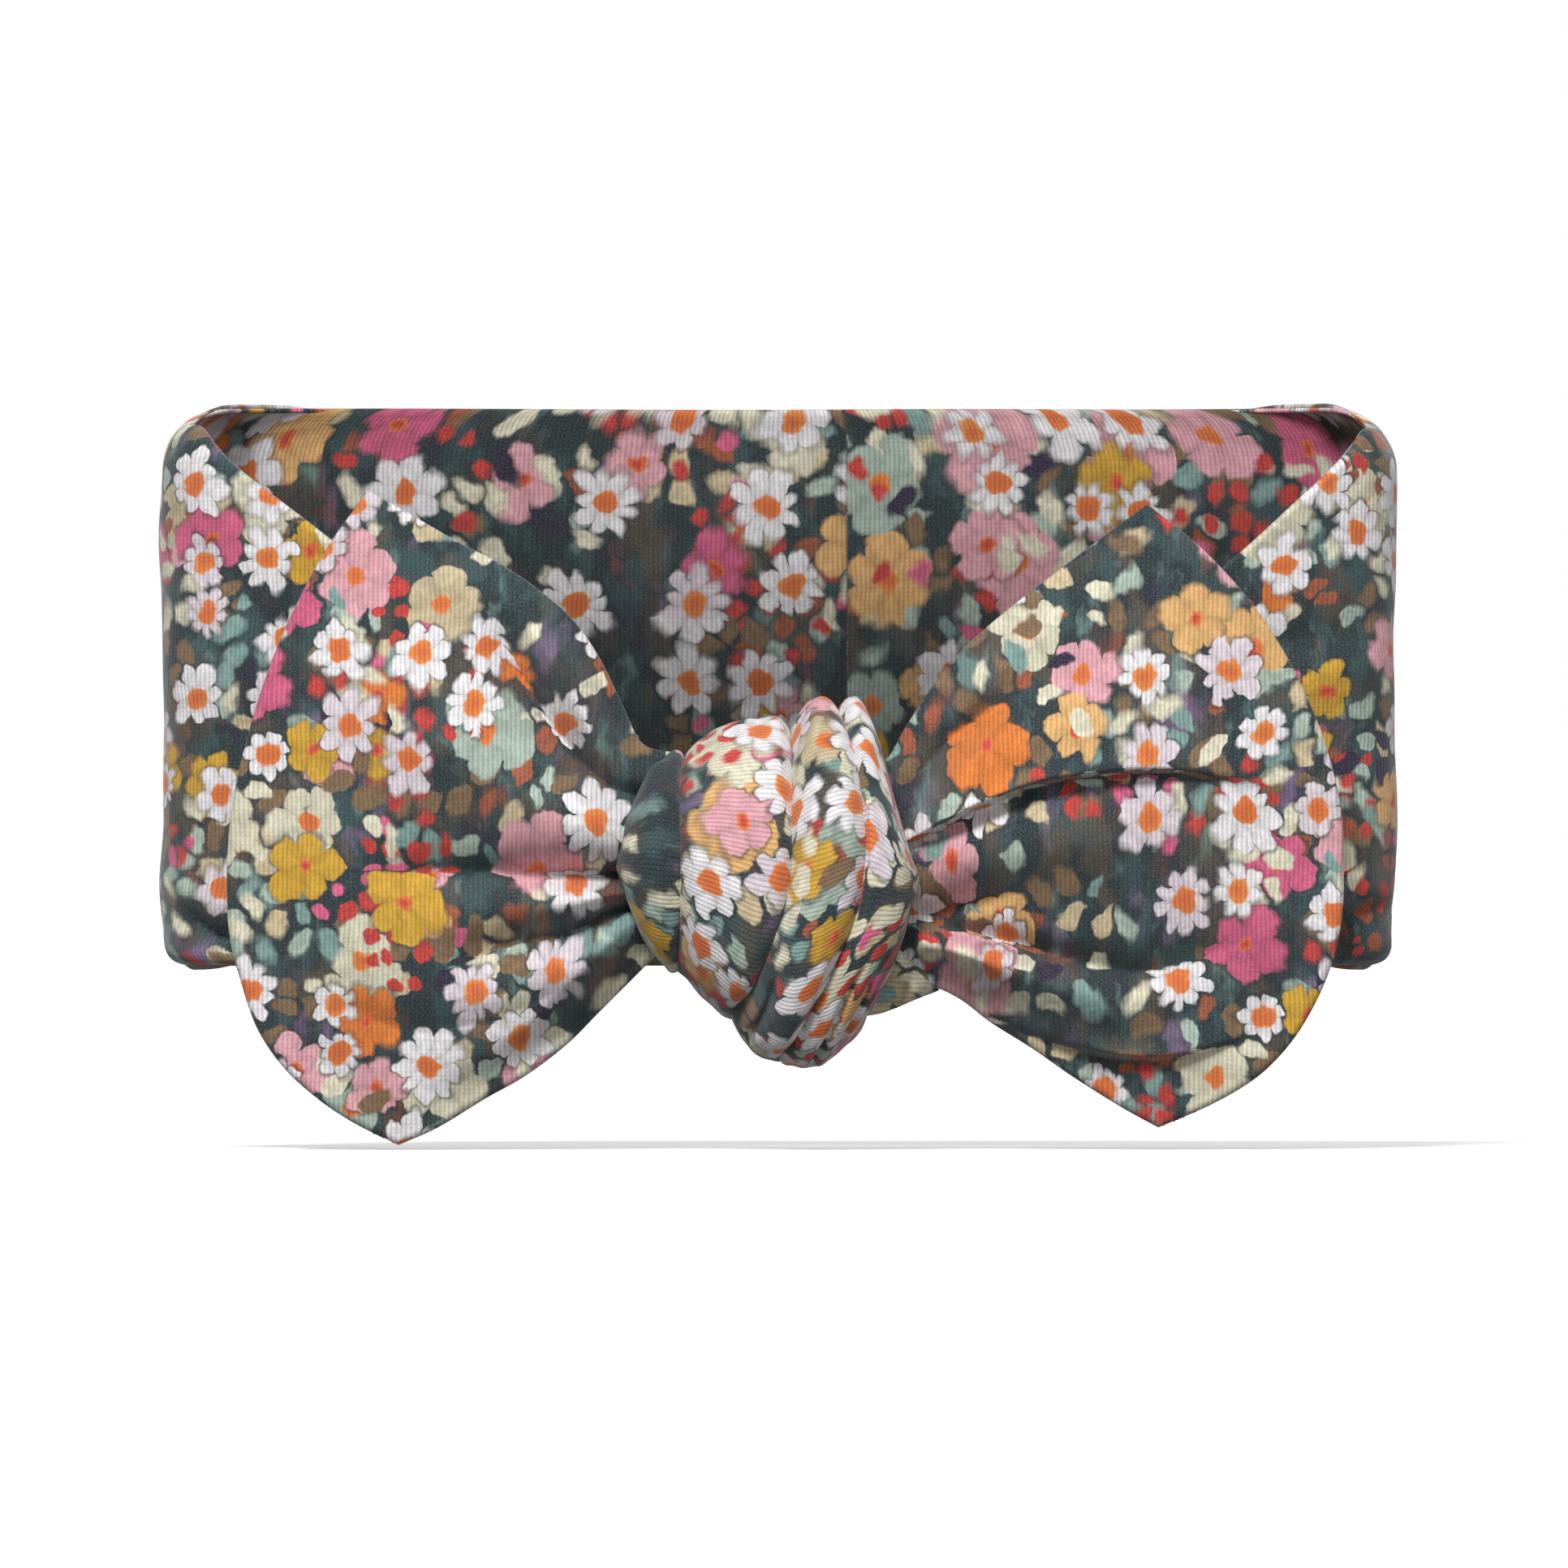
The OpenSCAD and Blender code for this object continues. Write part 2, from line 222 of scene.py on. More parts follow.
class Graph:
    """A short way to write shader nodes. A value is a number, a tuple or an output socket."""

    def __init__(self, tree):
        self.tree = tree

    def put(self, socket, value):
        if isinstance(value, bpy.types.NodeSocket):
            self.tree.links.new(value, socket)
        elif value is not None:
            socket.default_value = value

    def node(self, kind, inputs=(), **settings):
        made = self.tree.nodes.new(kind)
        for key, value in settings.items():
            setattr(made, key, value)
        for key, value in dict(inputs).items():
            self.put(made.inputs[key], value)
        return made

    def math(self, operation, a, b=None, c=None):
        made = self.node("ShaderNodeMath", operation=operation)
        for socket, value in zip(made.inputs, (a, b, c)):
            self.put(socket, value)
        return made.outputs[0]

    def vector(self, operation, a, b=None, scale=None):
        made = self.node("ShaderNodeVectorMath", operation=operation)
        self.put(made.inputs[0], a)
        self.put(made.inputs[1], b)
        if scale is not None:
            self.put(made.inputs["Scale"], scale)
        return made.outputs["Value" if operation in ("LENGTH", "DOT_PRODUCT") else "Vector"]

    def parts(self, vector):
        return self.node("ShaderNodeSeparateXYZ", {"Vector": vector}).outputs

    def join(self, x, y, z=0.0):
        return self.node("ShaderNodeCombineXYZ", {"X": x, "Y": y, "Z": z}).outputs[0]

    def fade(self, value, low, high, to_low=0.0, to_high=1.0):
        inputs = {"Value": value, "From Min": low, "From Max": high, "To Min": to_low, "To Max": to_high}
        return self.node("ShaderNodeMapRange", inputs, interpolation_type="SMOOTHSTEP").outputs[0]

    def mix(self, share, a, b):
        # inputs 6 and 7 and output 2 of this node are the ones for colours
        return self.node("ShaderNodeMix", {0: share, 6: a, 7: b}, data_type="RGBA").outputs[2]

    def noise(self, place, size, detail=2.0, rough=0.5, flat="2D"):
        inputs = {"Vector": place, "Scale": 1 / size, "Detail": detail, "Roughness": rough}
        return self.node("ShaderNodeTexNoise", inputs, noise_dimensions=flat).outputs

    def random(self, place):
        return self.node("ShaderNodeTexWhiteNoise", {"Vector": place}, noise_dimensions="3D").outputs

    def ramp(self, value, stops):
        made = self.node("ShaderNodeValToRGB", {"Fac": value})
        ramp = made.color_ramp
        ramp.interpolation = "CONSTANT"
        for i, (at, colour) in enumerate(stops):
            element = ramp.elements[i] if i < 2 else ramp.elements.new(at)
            element.position = at
            element.color = colour
        return made.outputs[0]


def rgb(red, green, blue):
    """A colour given as it looks on a screen, from 0 to 255, as the shader wants it."""
    shares = [x / 255 for x in (red, green, blue)]
    return (*[x / 12.92 if x < 0.04 else ((x + 0.055) / 1.055) ** 2.4 for x in shares], 1.0)


GROUND = rgb(38, 48, 52)
TEAL = rgb(62, 86, 88)
BROWN = rgb(94, 78, 64)
WHITE = rgb(240, 236, 238)
CREAM = rgb(222, 216, 190)
BEIGE = rgb(206, 188, 152)
SAGE = rgb(128, 158, 152)
MIST = rgb(172, 188, 174)
TAN = rgb(128, 102, 74)
RUST = rgb(160, 86, 58)
PINK = rgb(232, 170, 180)
ROSE = rgb(216, 98, 136)
MUSTARD = rgb(214, 166, 52)
APRICOT = rgb(230, 180, 116)
ORANGE = rgb(226, 126, 50)
CORAL = rgb(196, 62, 56)
AUBERGINE = rgb(46, 32, 60)
LILAC = rgb(150, 118, 158)
CENTRE = rgb(206, 104, 56)
AMBER = rgb(230, 144, 62)
BLUSH = rgb(228, 216, 222)
FIBRE = rgb(156, 174, 170)


def cells(g, place, size, seed, scatter=0.75):
    """Splits the cloth into cells of a size, one motif in each. Gives the place within the cell, the cell's
    own place, three random numbers, the room round that place, and how far a place is from the edge."""
    away = (seed * 37.3, seed * 91.7, 0)
    shifted = g.vector("ADD", place, away)

    def voronoi(where, feature):
        return g.node("ShaderNodeTexVoronoi", {"Vector": where, "Scale": 1 / size, "Randomness": scatter},
                      voronoi_dimensions="2D", feature=feature).outputs

    centre = voronoi(shifted, "F1")["Position"]
    room = g.math("MULTIPLY", voronoi(centre, "F2")["Distance"], size / 2)
    edge = g.math("MULTIPLY", voronoi(shifted, "DISTANCE_TO_EDGE")["Distance"], size)
    local = g.vector("SUBTRACT", shifted, centre)
    home = g.vector("SUBTRACT", centre, away)
    dice = g.parts(g.random(g.vector("ADD", centre, (0, 0, seed)))["Color"])
    return local, home, dice, room, edge


def chance(g, home, dice, share, size, seed):
    """1 where a cell keeps its motif. Motifs gather in drifts of the given size."""
    drift = g.noise(g.vector("ADD", home, (seed * 53.0, seed * 17.0, 0)), size, 1.0)[0]
    score = g.math("ADD", g.math("MULTIPLY", dice[2], 0.32), g.fade(drift, 0.32, 0.68, 0.0, 0.68))
    return g.math("LESS_THAN", score, share)


def petals(g, local, home, dice, room, radius, fewest, most, notch):
    """How far inside a flower's outline a place is, how near it is to a petal's middle, and how far out."""
    x, y, _ = g.parts(local)
    r = g.vector("LENGTH", local)
    angle = g.math("ADD", g.math("ARCTAN2", y, x), g.math("MULTIPLY", dice[0], 2 * math.pi))
    count = g.math("ROUND", g.math("ADD", fewest, g.math("MULTIPLY", dice[1], most - fewest)))
    turn = g.math("DIVIDE", g.math("MULTIPLY", angle, count), 2 * math.pi)
    index = g.math("FLOOR", g.math("ADD", g.math("WRAP", turn, 0.0, count), 0.5))
    index = g.math("WRAP", index, 0.0, count)
    own = g.random(g.vector("ADD", home, g.join(index, 0.0, index)))["Value"]
    lobe = g.math("ABSOLUTE", g.math("COSINE", g.math("MULTIPLY", turn, math.pi)))
    rounded = g.math("POWER", lobe, 0.6)
    reach = g.math("MULTIPLY", g.math("ADD", g.math("MULTIPLY", rounded, notch), 1 - notch),
                   g.math("ADD", g.math("MULTIPLY", own, 0.36), 0.74))
    size = g.math("ADD", g.math("MULTIPLY", dice[2], radius * 0.22), radius * 0.9)
    reach = g.math("MULTIPLY", reach, g.math("MINIMUM", size, g.math("MULTIPLY", room, 1.06)))
    return g.math("SUBTRACT", reach, r), lobe, r


def leaf(g, local, dice, long, wide):
    """How far inside the outline of an oval leaf or berry, turned at random, a place is."""
    x, y, _ = g.parts(local)
    turn = g.math("MULTIPLY", dice[0], 2 * math.pi)
    c, s = g.math("COSINE", turn), g.math("SINE", turn)
    a = g.math("ADD", g.math("MULTIPLY", x, c), g.math("MULTIPLY", y, s))
    b = g.math("SUBTRACT", g.math("MULTIPLY", y, c), g.math("MULTIPLY", x, s))
    size = g.math("ADD", g.math("MULTIPLY", dice[1], 0.5), 0.7)
    far = g.vector("LENGTH", g.join(g.math("DIVIDE", a, long), g.math("DIVIDE", b, wide)))
    return g.math("MULTIPLY", g.math("SUBTRACT", size, far), wide)


def print_group():
    """The flower print, as a node group from a place on the flat cloth in millimetres to a colour. Blur
    softens the edges of the motifs."""
    tree = bpy.data.node_groups.new("flower_print", "ShaderNodeTree")
    tree.interface.new_socket("Place", in_out="INPUT", socket_type="NodeSocketVector")
    tree.interface.new_socket("Blur", in_out="INPUT", socket_type="NodeSocketFloat")
    tree.interface.new_socket("Color", in_out="OUTPUT", socket_type="NodeSocketColor")
    g = Graph(tree)
    place, blur = g.node("NodeGroupInput").outputs[:2]
    wobble = g.vector("SUBTRACT", g.noise(place, 2.8, 2.0, 0.5)["Color"], (0.5, 0.5, 0.5))
    drawn = g.vector("ADD", place, g.vector("SCALE", wobble, scale=2.0))
    mottle = g.noise(drawn, 1.3, 3.0)[0]
    damp = g.noise(g.vector("ADD", place, (31.0, 77.0, 0)), 13.0, 1.0)[0]
    soft = g.math("ADD", g.fade(damp, 0.42, 0.66, 0.20, 0.70), blur)

    # washes of colour under the flowers
    colour = GROUND
    brush = g.join(*[g.math("MULTIPLY", v, k) for v, k in zip(g.parts(drawn)[:2], (1.0, 0.6))])
    for wash, size, seed, edge in ((TEAL, 5.0, 2, 0.52), (BROWN, 8.0, 1, 0.56), (AUBERGINE, 9.0, 3, 0.64),
                                   (RUST, 8.0, 4, 0.69), (LILAC, 9.0, 5, 0.68), (SAGE, 6.0, 6, 0.66)):
        patch = g.noise(g.vector("ADD", brush, (seed * 71.0, seed * 13.0, 0)), size, 3.0, 0.55)[0]
        colour = g.mix(g.fade(patch, edge - 0.06, edge + 0.12, 0.0, 0.62), colour, wash)

    def paint(cover, tone):
        nonlocal colour
        colour = g.mix(cover, colour, tone)

    def covered(inside, kept, spread=1.0):
        edge = g.math("MULTIPLY", soft, spread)
        return g.math("MULTIPLY", g.fade(inside, g.math("MULTIPLY", edge, -1.0), edge), kept)

    def leaves(size, seed, long, wide, share, drift, tones):
        local, home, dice, _, edge = cells(g, drawn, size, seed)
        tone_drift = g.noise(g.vector("ADD", home, (seed * 29.0, 7.0, 0)), drift * 0.8, 0.0)[0]
        pick = g.math("ADD", g.fade(tone_drift, 0.34, 0.66, 0.0, 0.72), g.math("MULTIPLY", dice[1], 0.28))
        tone = g.ramp(pick, tones)
        tone = g.vector("SCALE", tone, scale=g.fade(mottle, 0.3, 0.7, 0.82, 1.08))
        kept = chance(g, home, dice, share, drift, seed)
        inside = g.math("SMOOTH_MIN", leaf(g, local, dice, long, wide), g.math("SUBTRACT", edge, 0.25), 0.9)
        paint(covered(inside, kept, 0.8), tone)

    def flowers(size, seed, radius, fewest, most, notch, share, drift, tones, middle, middle_r, scatter=0.7,
                gap=0.5):
        local, home, dice, room, _ = cells(g, drawn, size, seed, scatter)
        inside, lobe, r = petals(g, local, home, dice, room, radius, fewest, most, notch)
        kept = chance(g, home, dice, share, drift, seed)
        if gap:
            paint(g.math("MULTIPLY", covered(g.math("ADD", inside, gap), kept, 1.8), 0.62), GROUND)
        tone = g.ramp(g.parts(g.random(g.vector("ADD", home, (0, 0, 5.0)))["Color"])[0], tones)
        shade = g.math("ADD", g.math("MULTIPLY", lobe, 0.18), 0.82)
        shade = g.math("MULTIPLY", shade, g.fade(mottle, 0.3, 0.7, 0.86, 1.03))
        shade = g.math("MULTIPLY", shade, g.fade(r, 0.5, radius, 0.90, 1.0))
        tone = g.vector("SCALE", tone, scale=shade)
        paint(covered(inside, kept), tone)
        ragged = g.math("ADD", r, g.math("MULTIPLY", mottle, 0.3))
        disc = g.fade(ragged, middle_r, middle_r + 0.5, 1.0, 0.0)
        halo = g.ramp(dice[0], [(0, ORANGE), (0.45, AMBER), (0.75, ORANGE)])
        spot = g.mix(g.fade(r, middle_r * 0.2, middle_r * 1.1, 0.0, 0.7), middle, halo)
        paint(g.math("MULTIPLY", disc, kept), spot)

    # from the bottom up: leaves, big loose flowers, berries, five-petal flowers, more leaves, daisies
    leaves(size=4.4, seed=1, long=2.4, wide=1.3, share=0.51, drift=17,
           tones=[(0, CREAM), (0.16, TAN), (0.38, SAGE), (0.60, RUST), (0.70, MIST), (0.86, BEIGE)])
    flowers(size=17, seed=2, radius=7.2, fewest=5, most=6, notch=0.24, share=0.51, drift=40,
            tones=[(0, CREAM), (0.25, BEIGE), (0.42, PINK), (0.62, MIST), (0.76, APRICOT), (0.9, PINK)],
            middle=CENTRE, middle_r=1.3, gap=0)
    leaves(size=3.6, seed=3, long=1.5, wide=1.25, share=0.25, drift=26,
           tones=[(0, CORAL), (0.5, ROSE), (0.7, CORAL), (0.9, RUST)])
    flowers(size=15, seed=4, radius=5.6, fewest=5, most=5, notch=0.34, share=0.48, drift=30,
            tones=[(0, MUSTARD), (0.22, ROSE), (0.36, ORANGE), (0.52, PINK), (0.74, MUSTARD), (0.9, APRICOT)],
            middle=CORAL, middle_r=1.0)
    leaves(size=5.6, seed=5, long=2.7, wide=1.35, share=0.36, drift=20,
           tones=[(0, CREAM), (0.34, SAGE), (0.52, AUBERGINE), (0.62, CREAM), (0.85, TAN)])
    flowers(size=12.0, seed=6, radius=5.1, fewest=6, most=9, notch=0.40, share=0.62, drift=26,
            tones=[(0, WHITE), (0.62, BLUSH), (0.85, WHITE)], middle=CENTRE, middle_r=1.6, scatter=0.6)

    out = g.node("NodeGroupOutput")
    g.put(out.inputs[0], colour)
    return tree


PRINT = print_group()
WALE = 0.70     # width of one column of stitches
COURSE = 0.62   # height of one row of stitches
PAINTED_SHADE_LOW, PAINTED_SHADE_HIGH = 30, 76      # heights on the cloth over which the lining's painted shade fades: darker low on the cloth, brighter high


def jersey(name, shift, blur=0.0, painted_shade=None, scale=1.0):
    """Printed cotton jersey. shift moves the print, so that no two pieces show the same stretch of it.
    painted_shade is how strong the colours are low on the cloth and high on it: a painted shade that darkens
    the cloth, most of all low down."""
    material = bpy.data.materials.new(name)
    material.use_nodes = True
    tree = material.node_tree
    tree.nodes.clear()
    g = Graph(tree)
    flat = g.vector("SCALE", g.node("ShaderNodeUVMap", uv_map="cloth").outputs[0], scale=1 / MM)
    place = g.vector("ADD", g.vector("SCALE", flat, scale=1 / scale), (*shift, 0.0))
    colour = g.node("ShaderNodeGroup", node_tree=PRINT).outputs[0]
    g.put(colour.node.inputs["Place"], place)
    g.put(colour.node.inputs["Blur"], blur)

    # the knit: columns of V-shaped stitches
    drift = g.math("MULTIPLY", g.math("SUBTRACT", g.noise(flat, 9.0, 2.0)[0], 0.5), 0.9)
    u, v, _ = g.parts(flat)
    column = g.math("DIVIDE", g.math("ADD", u, drift), WALE)
    across = g.math("ABSOLUTE", g.math("SUBTRACT", g.math("MULTIPLY", g.math("FRACT", column), 2.0), 1.0))
    rib = g.math("SUBTRACT", 1.0, g.math("POWER", across, 2.2))
    row = g.math("SUBTRACT", g.math("DIVIDE", v, COURSE), g.math("MULTIPLY", across, 0.55))
    loop = g.math("ADD", g.math("MULTIPLY", g.math("SINE", g.math("MULTIPLY", row, 2 * math.pi)), 0.5), 0.5)
    knit = g.math("MULTIPLY", rib, g.math("ADD", g.math("MULTIPLY", loop, 0.25), 0.75))
    fibre = g.noise(g.join(g.math("MULTIPLY", u, 1.6), v), 0.22, 3.0, 0.7)[0]

    # light flecks of bare fibre in the dark ground, and darker lines between the columns, painted shade in
    # the dips between them
    fleck = g.fade(fibre, 0.50, 0.72, 0.0, 0.32)
    colour = g.mix(fleck, colour, FIBRE)
    shade = g.math("ADD", g.math("MULTIPLY", knit, 0.42), 0.75)
    shade = g.math("MULTIPLY", shade, g.fade(fibre, 0.25, 0.7, 0.90, 1.08))
    colour = g.vector("SCALE", colour, scale=shade)
    # painted shade: the lining's colours are darkened everywhere and most of all low on the cloth, standing
    # in for the shade inside the loop of the band
    if painted_shade:
        colour = g.vector("SCALE", colour, scale=g.fade(v, PAINTED_SHADE_LOW, PAINTED_SHADE_HIGH, *painted_shade))

    height = g.math("ADD", g.math("MULTIPLY", knit, 0.8), g.math("MULTIPLY", fibre, 0.35))
    bump = g.node("ShaderNodeBump", {"Height": height, "Strength": 0.55, "Distance": 0.00016})
    rough = g.fade(fibre, 0.3, 0.7, 0.78, 0.92)
    shader = g.node("ShaderNodeBsdfPrincipled", {
        "Base Color": colour, "Roughness": rough, "Normal": bump.outputs[0], "Sheen Weight": 0.25,
        "Sheen Roughness": 0.45, "Specular IOR Level": 0.25})
    out = g.node("ShaderNodeOutputMaterial")
    g.put(out.inputs[0], shader.outputs[0])
    return material


def thread_material():
    """Spun sewing thread: two plies twisted together, dull, a little darker in the grooves, which is painted
    shade.
    """
    material = bpy.data.materials.new("thread")
    material.use_nodes = True
    tree = material.node_tree
    tree.nodes.clear()
    g = Graph(tree)
    place = g.vector("SCALE", g.node("ShaderNodeTexCoord").outputs["Object"], scale=1 / MM)
    x, y, z = g.parts(place)
    twist = g.math("SINE", g.math("MULTIPLY", g.math("ADD", z, g.math("ADD", x, y)), 2 * math.pi / 0.5))
    fuzz = g.noise(place, 0.12, 2.0, flat="3D")[0]
    # painted shade: the twist is darker in its grooves
    tone = g.mix(g.fade(twist, -1.0, 1.0, 0.0, 1.0), rgb(38, 50, 54), rgb(74, 88, 90))
    tone = g.mix(g.fade(fuzz, 0.4, 0.7, 0.0, 0.4), tone, rgb(120, 130, 130))
    bump = g.node("ShaderNodeBump", {"Height": twist, "Strength": 0.5, "Distance": 0.00005})
    shader = g.node("ShaderNodeBsdfPrincipled", {
        "Base Color": tone, "Roughness": 0.7, "Normal": bump.outputs[0], "Sheen Weight": 0.2})
    out = g.node("ShaderNodeOutputMaterial")
    g.put(out.inputs[0], shader.outputs[0])
    return material


BAND_CLOTH = jersey("band_jersey", (-102, -210))
# the lining carries painted shade, darker low on the cloth
LINING_CLOTH = jersey("lining_jersey", (202, -8), blur=0.24, painted_shade=(0.30, 0.76), scale=1.1)
LEFT_CLOTH = jersey("left_wing_jersey", (-191, 252))
RIGHT_CLOTH = jersey("right_wing_jersey", (-337, 290))
KNOT_CLOTH = jersey("knot_jersey", (0, 0), scale=1.12)
THREAD = thread_material()


# ---------------------------------------------------------------- the band

LOOP_POWER = 3          # squareness of the loop seen from above
LAYER = 0.6             # thickness of one layer of jersey
HALF_STACK = 1.0        # from the middle of the doubled band to its outer face
TOP_CORNER = 9.0        # how far the side folds lean in at the top
LOW_CORNER = 3.6
KNOT_ENTRY = 15.0       # where the front panels end, inside the knot
PRINT_JUMP = {-1: 0.0, 1: 188.0}    # the two halves are cut from different places of the print
BAND_ROWS, BAND_COLS = 190, 84

# Top and lower edges of the front panels, from the side fold in to the knot
TOP_EDGE = {-1: [(-89, 37.5), (-85, 37.2), (-76, 30), (-65.6, 22), (-50, 9.5), (-35, -2), (-22, -8.5),
                 (-14, -11)],
            1: [(89, 37), (85.6, 36.6), (76, 28), (65.7, 18.6), (50, 5.5), (35, -5), (22, -11), (14, -13)]}
LOW_EDGE = {-1: [(-89, -40.3), (-70, -40.3), (-45, -40), (-28, -38.6), (-14, -36)],
            1: [(89, -40.3), (70, -40.3), (45, -40.2), (28, -39.5), (14, -37.5)]}
# Folds of the front panels: kind, points, and height and width at the two ends
BAND_FOLDS = {
    -1: [("crease", [(-91, -30.5), (-85, -33.6), (-79, -36.8), (-60, -38)], (3.4, 2.4), (1.5, 1.6)),
         ("ridge", [(-90, -27.5), (-82, -31), (-74, -34)], (1.3, 0.4), (2.4, 2.4)),
         ("crease", [(-90, 25), (-82, 18), (-72, 9), (-60, 2)], (0.9, 1.4), (3.5, 3.5)),
         ("crease", [(-88, -2), (-70, -10), (-50, -16), (-24, -20)], (0.5, 2.6), (5, 2.2))],
    1: [("crease", [(91, -31), (84, -32.6), (76, -33.6), (60, -35)], (3.2, 2.4), (1.3, 1.6)),
        ("ridge", [(90, -28.5), (82, -30), (74, -31)], (1.2, 0.5), (2.2, 2.4)),
        ("crease", [(84, 9), (76, 7), (66, 3), (50, -6)], (1.1, 1.6), (2.6, 3)),
        ("ridge", [(86, 4), (76, 1), (62, -6)], (1.0, 0.8), (4, 4)),
        ("crease", [(88, -8), (70, -14), (50, -20), (24, -24)], (0.5, 2.6), (5, 2.2))]}


def power(value, n):
    """A share of a circle's width or height, moved towards a square's."""
    return np.sign(value) * np.abs(value) ** (2 / n)


def band_path(side):
    """The middle of the doubled band seen from above, from the centre-back join round a side to the knot."""
    turn = np.linspace(0, 2 * math.pi, 6000)
    a, b = HALF_W - HALF_STACK, HALF_D - HALF_STACK
    x, y = a * power(np.cos(turn), LOOP_POWER), b * power(np.sin(turn), LOOP_POWER)
    if side < 0:
        keep = (turn > np.interp(-JOIN_X, -x[:1500], turn[:1500])) & ((x < -KNOT_ENTRY) | (turn < math.pi))
        line = np.column_stack([x, y])[keep]
    else:
        right = (turn < math.pi / 2) & (x > JOIN_X)
        front = (turn > 1.5 * math.pi) & (x > KNOT_ENTRY)
        line = np.vstack([np.column_stack([x, y])[right][::-1], np.column_stack([x, y])[front][::-1]])
    return spaced(line, BAND_ROWS)


def lean(z):
    """How far the side folds lean in at a height."""
    high = np.clip(z - (HALF_H - TOP_CORNER), 0, TOP_CORNER)
    low = np.clip(-z - (HALF_H - LOW_CORNER), 0, LOW_CORNER)
    top = TOP_CORNER - np.sqrt(TOP_CORNER ** 2 - high ** 2)
    return top + (LOW_CORNER - np.sqrt(LOW_CORNER ** 2 - low ** 2))


def band_layer(name, side, layer, material):
    """One layer of one half of the band: layer 1 is the outside, -1 the lining."""
    line = band_path(side)
    run = np.r_[0, np.cumsum(np.linalg.norm(np.diff(line, axis=0), axis=1))]
    edge = np.array([0, 0.12, 0.3, 0.55, 0.85, 1.25, 1.8]) / (2 * HALF_H)
    v = np.r_[edge, np.linspace(2.6 / (2 * HALF_H), 1 - 2.6 / (2 * HALF_H), BAND_COLS - 14), 1 - edge[::-1]]
    x, y = np.repeat(line[:, :1], BAND_COLS, 1), np.repeat(line[:, 1:], BAND_COLS, 1)
    top_line, low_line = spline(TOP_EDGE[side], 200), spline(LOW_EDGE[side], 200)
    front = smooth(4.0, -6.0, line[:, 1])
    top = np.interp(line[:, 0] * side, top_line[::-1, 0] * side, top_line[::-1, 1])
    low = np.interp(line[:, 0] * side, low_line[::-1, 0] * side, low_line[::-1, 1])
    top = HALF_H + (top - HALF_H) * front
    low = -HALF_H + (low + HALF_H) * front
    z = low[:, None] + (top - low)[:, None] * v[None]
    tangent = np.gradient(line, axis=0)
    tangent /= np.linalg.norm(tangent, axis=1, keepdims=True)
    out = np.column_stack([tangent[:, 1], -tangent[:, 0]]) * -side
    out = out * np.sign((out * line).sum(1, keepdims=True))

    # the doubled cloth is rounded at its two long edges
    from_edge = np.minimum(v, 1 - v) * 2 * HALF_H
    offset = layer * HALF_STACK * np.sqrt(1 - (1 - np.clip(from_edge / HALF_STACK, 0, 1)) ** 2)
    place = np.stack([x, z], -1).reshape(-1, 2)
    rise = np.zeros(len(place))
    slip = np.zeros(len(place))
    for fold in BAND_FOLDS[side]:
        one, shift = stroke(place, *fold)
        rise += one
        slip += shift
    rise = rise.reshape(x.shape) * front[:, None] * smooth(HALF_W, HALF_W - 7, np.abs(x))
    near_knot = smooth(62, 20, np.abs(line[:, 0])) * front
    pleats = np.cos(v[None] * 2 * math.pi * 6 + 0.4 * np.sin(line[:, :1] / 9)) - 1
    rise += 1.5 * near_knot[:, None] * pleats
    body = np.stack([x, y, z], -1)
    rise += (0.55 * ripple(body, 46, 3) + 0.16 * ripple(body, 15, 4)) * (1 - 0.7 * near_knot[:, None])
    rise -= 0.7 * (np.exp(-(np.hypot(line[:, 0] - JOIN_X, line[:, 1] - HALF_D) / 1.1) ** 2)[:, None] * layer)
    at_edge = np.clip(from_edge / 4, 0.35, 1)
    shift = offset[None] + rise * at_edge
    x, y = x + out[:, :1] * shift, y + out[:, 1:] * shift
    x = x * (1 - lean(z) / HALF_W)
    wave = 0.15 * ripple(body, 60, 5) * (1 - front[:, None] * 0.6)
    face = np.stack([x, y, z + wave * np.abs(2 * v[None] - 1)], -1)
    width = v[None] * 2 * HALF_H + np.zeros_like(z)
    across = width + (z - width + HALF_H) * front[:, None]
    along = run[:, None] * -side + PRINT_JUMP[side]
    uv = np.stack([np.repeat(along, BAND_COLS, 1), across], -1)
    turned = 1 if np.dot(normals(face)[20, BAND_COLS // 2, :2], out[20]) * layer > 0 else -1
    return cloth_mesh(name, face, uv, LAYER, material, outward=turned)


for side, word in ((-1, "left"), (1, "right")):
    for layer, kind, cloth in ((1, "outer", BAND_CLOTH), (-1, "lining", LINING_CLOTH)):
        piece = band_layer(f"band_{word}_{kind}", side, layer, cloth)
        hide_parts(f"band_back_{word}_{kind}", f"band_front_{word}_{kind}")
        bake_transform(piece)


# ---------------------------------------------------------------- the wings

WING_ROWS, WING_COLS = 130, 250
RIM = 1.1               # half thickness of a wing at its rim

